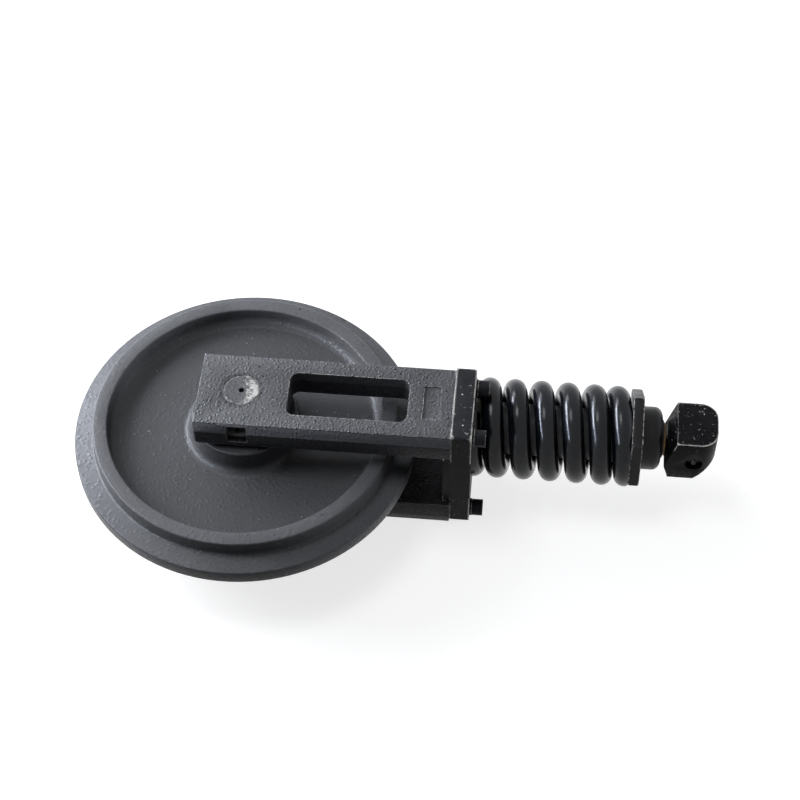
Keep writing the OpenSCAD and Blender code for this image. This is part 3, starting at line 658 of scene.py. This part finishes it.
@dataclass
class IdlerWheel:
    """The cast wheel with its bushes and the hub-side halves of its floating seals. Sizes in mm."""

    tread_r: float = 165.0
    flange_r: float = 187.0
    flange_land: float = 17.0
    flange_root: float = 22.6
    rim_w: float = 60.4
    rim_in: float = 149.4
    rim_wall_r: float = 147.9
    web_t: float = 20.0
    hub_r: float = 57.0
    hub_wall_r: float = 59.0
    hub_end: float = 38.5
    seal_r: float = 41.0
    seal_depth: float = 12.0
    core_r: float = 27.3
    bush_r: float = 23.0
    bush_top: float = 36.5
    oil_chamber_r: float = 30.0
    oil_chamber_h: float = 8.0
    web_fillet: float = 10.0
    edge_round: float = 1.8
    steps: int = 192

    def half_section(self) -> list[tuple[float, float, float]]:
        """Lists the upper half of the section as radius, height and corner rounding, in mm."""
        top = self.rim_w / 2
        web = self.web_t / 2
        edge = self.edge_round
        return [
            (self.oil_chamber_r, self.oil_chamber_h, 0.0),
            (self.bush_r, self.oil_chamber_h, 0.0),
            (self.bush_r, self.bush_top, 0.0),
            (self.core_r, self.bush_top, 0.0),
            (self.core_r, self.hub_end - self.seal_depth, 0.0),
            (self.seal_r, self.hub_end - self.seal_depth, 0.0),
            (self.seal_r, self.hub_end, 0.6),
            (self.hub_r, self.hub_end, 2.0),
            (self.hub_wall_r, web, self.web_fillet),
            (self.rim_wall_r, web, self.web_fillet),
            (self.rim_in, top, edge),
            (self.tread_r, top, edge),
            (self.tread_r, self.flange_root / 2, 3.0),
            (self.flange_r, self.flange_land / 2, edge),
        ]

    def build(self) -> bpy.types.Object:
        """Turns the rounded section about the wheel's axis.

        Returns:
            The wheel's body as one closed shell.
        """
        half = self.half_section()
        section = half + [(r, -z, c) for r, z, c in reversed(half)]
        shape = bmesh.new()
        outline = [shape.verts.new((r * MM, 0.0, z * MM)) for r, z, _ in section]
        shape.faces.new(outline)
        for size in sorted({c for _, _, c in section if c > 0.0}):
            chosen = [v for v, (_, _, c) in zip(outline, section) if c == size]
            bmesh.ops.bevel(shape, geom=chosen, offset=size * MM, offset_type="OFFSET",
                            segments=8 if size > 5.0 else 3, profile=0.5, affect="VERTICES",
                            material=-1, clamp_overlap=False)
        bmesh.ops.delete(shape, geom=shape.faces[:], context="FACES_ONLY")
        bmesh.ops.spin(shape, geom=shape.verts[:] + shape.edges[:], cent=(0, 0, 0), axis=(0, 0, 1),
                       dvec=(0, 0, 0), angle=math.tau, steps=self.steps, use_merge=True)
        bmesh.ops.remove_doubles(shape, verts=shape.verts, dist=0.005 * MM)
        bmesh.ops.recalc_face_normals(shape, faces=shape.faces)
        wheel = new_piece("idler_wheel_casting", shape, Body.WHEEL, WHEEL_PAINT, ["idler_wheel"])
        dress_nodes(["upper_bush", "lower_bush"], BEARING_BRONZE)
        dress_nodes(["upper_hub_seal_ring", "lower_hub_seal_ring"], SEAL_IRON)
        dress_nodes(["upper_hub_toric", "lower_hub_toric"], NITRILE)
        return wheel


@dataclass
class Fork:
    """The two arms, the fixed shaft, the yoke plate and what fastens them. Sizes in mm."""

    arm_round: float = 1.8
    plate_round: float = 1.4
    screw_round: float = 0.7

    def build(self) -> None:
        """Rounds the castings, the plate and the screws, and dresses the rest."""
        for side in ("upper", "lower"):
            new_piece(f"{side}_arm_casting", softened(f"{side}_arm", self.arm_round), Body.FORK,
                      ARM_PAINT, [f"{side}_arm"])
        new_piece("yoke_plate_rounded", softened("yoke_plate", self.plate_round), Body.FORK,
                  YOKE_PAINT, ["yoke_plate"])
        new_piece("yoke_screws_rounded", softened("yoke_bolts", self.screw_round), Body.FORK,
                  SCREW_OXIDE, ["yoke_bolts"])
        dress_nodes(["yoke_washers"], SCREW_OXIDE)
        dress_nodes(["idler_shaft"], SHAFT_END)
        dress_nodes(["lock_pins", "guide_bush"], OILY_STEEL)
        dress_nodes(["upper_arm_seal_ring", "lower_arm_seal_ring"], SEAL_IRON)
        dress_nodes(["upper_arm_toric", "lower_arm_toric", "shaft_o_rings"], NITRILE)


@dataclass
class RecoilSpring:
    """The wound spring between the yoke plate and the nut, with ground ends. Sizes in mm."""

    front: float = 249.0
    rear: float = 418.9
    coil_r: float = 43.2
    wire_r: float = 11.8
    turns: float = 5.25
    tail_turns: float = 0.7
    closed_front: float = 0.45
    closed_rear: float = 1.05
    closed_gap: float = 1.5
    sides: int = 28
    steps_per_turn: int = 72
    travel: float = 18.0

    def build(self) -> bpy.types.Object:
        """Winds the wire with one spin for each stretch of equal pitch and grinds both ends flat.

        Returns:
            The spring, which rides on the fork and has a mesh of its own.
        """
        closed_pitch = 2 * self.wire_r + self.closed_gap
        open_turns = self.turns - self.closed_front - self.closed_rear
        open_len = (self.rear - self.front - 2 * self.wire_r
                    - closed_pitch * (self.closed_front + self.closed_rear))
        stretches = (
            (self.tail_turns + self.closed_front, closed_pitch),
            (open_turns, open_len / open_turns),
            (self.closed_rear + self.tail_turns, closed_pitch),
        )
        start_angle = -self.tail_turns * math.tau
        start_x = self.front + self.wire_r - closed_pitch * self.tail_turns
        place = (Matrix.Translation((start_x * MM, AXIS_Y, 0)) @ Matrix.Rotation(start_angle, 4, "X")
                 @ Matrix.Translation((0, self.coil_r * MM, 0)))
        shape = bmesh.new()
        bmesh.ops.create_circle(shape, cap_ends=False, segments=self.sides, radius=self.wire_r * MM,
                                matrix=place)
        geom = shape.verts[:] + shape.edges[:]
        for turns, pitch in stretches:
            steps = round(turns * self.steps_per_turn)
            wound = bmesh.ops.spin(shape, geom=geom, cent=(0, AXIS_Y, 0), axis=(1, 0, 0),
                                   dvec=(pitch * turns / steps * MM, 0, 0), angle=turns * math.tau,
                                   steps=steps, use_merge=False, use_duplicate=False)
            geom = wound["geom_last"]
        bmesh.ops.remove_doubles(shape, verts=shape.verts, dist=0.005 * MM)
        for x, outward in ((self.front, -1), (self.rear, 1)):
            bmesh.ops.bisect_plane(shape, geom=shape.verts[:] + shape.edges[:] + shape.faces[:],
                                   plane_co=(x * MM, AXIS_Y, 0), plane_no=(outward, 0, 0),
                                   clear_outer=True, clear_inner=False)
        bmesh.ops.holes_fill(shape, edges=[e for e in shape.edges if e.is_boundary], sides=0)
        bmesh.ops.recalc_face_normals(shape, faces=shape.faces)
        spring = new_piece("recoil_spring_coils", shape, Body.FORK, COIL_ENAMEL,
                           ["recoil_spring"])
        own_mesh(spring)
        return spring


@dataclass
class TrackAdjuster:
    """The grease cylinder with its nut, and the rod with the end block. Sizes in mm."""

    nut_round: float = 1.0
    block_round: float = 1.6

    def build(self) -> None:
        """Rounds the nut and the block and dresses the rest."""
        new_piece("spring_nut_rounded", softened("spring_nut", self.nut_round), Body.CYLINDER,
                  NUT_PAINT, ["spring_nut"])
        new_piece("end_block_rounded", softened("end_block", self.block_round), Body.ROD,
                  BLOCK_PAINT, ["end_block"])
        dress_nodes(["grease_cylinder"], TUBE_PAINT)
        dress_nodes(["rod_guide", "wear_ring"], BEARING_BRONZE)
        dress_nodes(["rod_wiper", "piston_seal"], NITRILE)
        dress_nodes(["piston_rod"], GREASED_CHROME)
        dress_nodes(["grease_valve", "grease_nipple"], OILY_STEEL)


@dataclass(frozen=True)
class Softbox:
    """A rectangular lamp. Lengths in metres, power in watts."""

    name: str
    place: tuple[float, float, float]
    aim: tuple[float, float, float]
    width: float
    height: float
    power: float
    hue: str
    fills: bool = True
    mirrored: bool = True

    def build(self) -> None:
        """Hangs the lamp so that it faces its aim."""
        lamp = bpy.data.lights.new(self.name, "AREA")
        lamp.shape = "RECTANGLE"
        lamp.color = linear(self.hue)[:3]
        lamp.size = self.width
        lamp.size_y = self.height
        lamp.energy = self.power
        box = bpy.data.objects.new(self.name, lamp)
        box.visible_diffuse = self.fills
        box.visible_glossy = self.mirrored
        box.location = self.place
        away = Vector(self.place) - Vector(self.aim)
        box.rotation_euler = away.to_track_quat("Z", "Y").to_euler()
        bpy.context.scene.collection.objects.link(box)


# The streak shows only in gloss, as the lines along the coils; the rear fill only lights.
SOFTBOXES = (
    Softbox("top_softbox", (-0.5, 0.2, 2.3), (0.15, 0.05, 0.0), 0.9, 0.9, 17.0, "#fafcff"),
    Softbox("left_window", (-1.05, 0.3, 0.55), (0.1, 0.03, 0.0), 1.0, 0.5, 27.0, "#f8faff"),
    Softbox("left_far_window", (-1.0, 1.2, 0.9), (0.2, 0.03, 0.0), 1.2, 0.6, 15.0, "#f8faff"),
    Softbox("rear_fill", (1.7, 0.5, 0.1), (0.4, 0.03, 0.0), 0.9, 0.4, 30.0, "#fafcff", mirrored=False),
    Softbox("left_streak", (-1.5, 0.0, 1.0), (0.3, 0.03, 0.0), 3.4, 0.14, 130.0, "#dbe7ff", fills=False),
)


@dataclass
class Studio:
    """The camera, the pale floor and the soft light. Lengths in metres, angles in degrees."""

    azimuth: float = 5.75
    elevation: float = 53.25
    roll: float = -0.77
    look_at: tuple[float, float, float] = (0.16401, 0.05885, 0.0)
    distance: float = 2.19523
    lens_mm: float = 88.88
    floor_z: float = -0.0782
    floor_size: float = 12.0
    floor_lit: str = "#202020"
    floor_seen: str = "#b4b4b4"
    floor_lift: float = 0.75
    world_fill: float = 0.04

    def camera(self) -> None:
        """Places the camera at the photograph's viewing angle."""
        az, el, roll = (math.radians(a) for a in (self.azimuth, self.elevation, self.roll))
        back = Vector((math.sin(az) * math.cos(el), -math.cos(az) * math.cos(el), math.sin(el)))
        level = Vector((math.cos(az), math.sin(az), 0.0))
        rise = back.cross(level)
        right = level * math.cos(roll) + rise * math.sin(roll)
        up = rise * math.cos(roll) - level * math.sin(roll)
        turn = Matrix((right, up, back)).transposed().to_4x4()
        lens = bpy.data.cameras.new("photo_camera")
        lens.lens = self.lens_mm
        lens.sensor_width = 36.0
        lens.clip_end = 50.0
        camera = bpy.data.objects.new("photo_camera", lens)
        camera.matrix_world = Matrix.Translation(Vector(self.look_at) + back * self.distance) @ turn
        bpy.context.scene.collection.objects.link(camera)
        bpy.context.scene.camera = camera

    def floor(self) -> None:
        """Lays a pale floor that stays white to the camera and keeps the shadow."""
        shape = bmesh.new()
        bmesh.ops.create_grid(shape, x_segments=1, y_segments=1, size=self.floor_size / 2,
                              matrix=Matrix.Translation((0, 0, self.floor_z)))
        mesh = bpy.data.meshes.new("studio_floor")
        shape.to_mesh(mesh)
        shape.free()
        floor = bpy.data.objects.new("studio_floor", mesh)
        bpy.context.scene.collection.objects.link(floor)
        made = bpy.data.materials.new("pale_floor")
        made.use_nodes = True
        tree = made.node_tree
        surface = tree.nodes["Principled BSDF"]
        surface.inputs["Roughness"].default_value = 0.9
        surface.inputs["Specular IOR Level"].default_value = 0.1
        surface.inputs["Emission Color"].default_value = (1, 1, 1, 1)
        seen = self.seen_rays(tree)
        tone = add_node(tree, "ShaderNodeMix", {
            "Factor": seen, "A": linear(self.floor_lit), "B": linear(self.floor_seen)},
            data_type="RGBA")
        tree.links.new(tone.outputs["Result"], surface.inputs["Base Color"])
        lift = add_node(tree, "ShaderNodeMath", {0: seen, 1: self.floor_lift}, operation="MULTIPLY")
        tree.links.new(lift.outputs["Value"], surface.inputs["Emission Strength"])
        mesh.materials.append(made)

    def seen_rays(self, tree: bpy.types.NodeTree) -> bpy.types.NodeSocket:
        """Marks the rays that show the background: camera, glossy and transmission rays.

        Args:
            tree: The node tree to work in.

        Returns:
            A socket that is 1 for such a ray and 0 for others.
        """
        path = add_node(tree, "ShaderNodeLightPath")
        mirrored = add_node(tree, "ShaderNodeMath", {
            0: path.outputs["Is Glossy Ray"], 1: path.outputs["Is Transmission Ray"]}, operation="MAXIMUM")
        seen = add_node(tree, "ShaderNodeMath", {
            0: path.outputs["Is Camera Ray"], 1: mirrored.outputs["Value"]}, operation="MAXIMUM")
        return seen.outputs["Value"]

    def lights(self) -> None:
        """Sets a white world of soft fill and the softboxes."""
        world = bpy.data.worlds.new("studio_white")
        bpy.context.scene.world = world
        world.use_nodes = True
        tree = world.node_tree
        background = tree.nodes["Background"]
        background.inputs["Color"].default_value = (1, 1, 1, 1)
        seen = self.seen_rays(tree)
        level = add_node(tree, "ShaderNodeMapRange", {
            "Value": seen, "To Min": self.world_fill, "To Max": 1.0})
        tree.links.new(level.outputs["Result"], background.inputs["Strength"])
        for lamp_box in SOFTBOXES:
            lamp_box.build()

    def build(self) -> None:
        """Builds the camera, the floor and the lights."""
        self.camera()
        self.floor()
        self.lights()
        bpy.context.scene.view_settings.view_transform = "Standard"


def main() -> None:
    """Builds every sub-assembly in order."""
    logging.basicConfig(level=logging.INFO, format="%(name)s: %(message)s")
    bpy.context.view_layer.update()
    Studio().build()
    IdlerWheel().build()
    Fork().build()
    RecoilSpring().build()
    TrackAdjuster().build()
    bpy.context.view_layer.update()


if __name__ == "__main__":
    main()
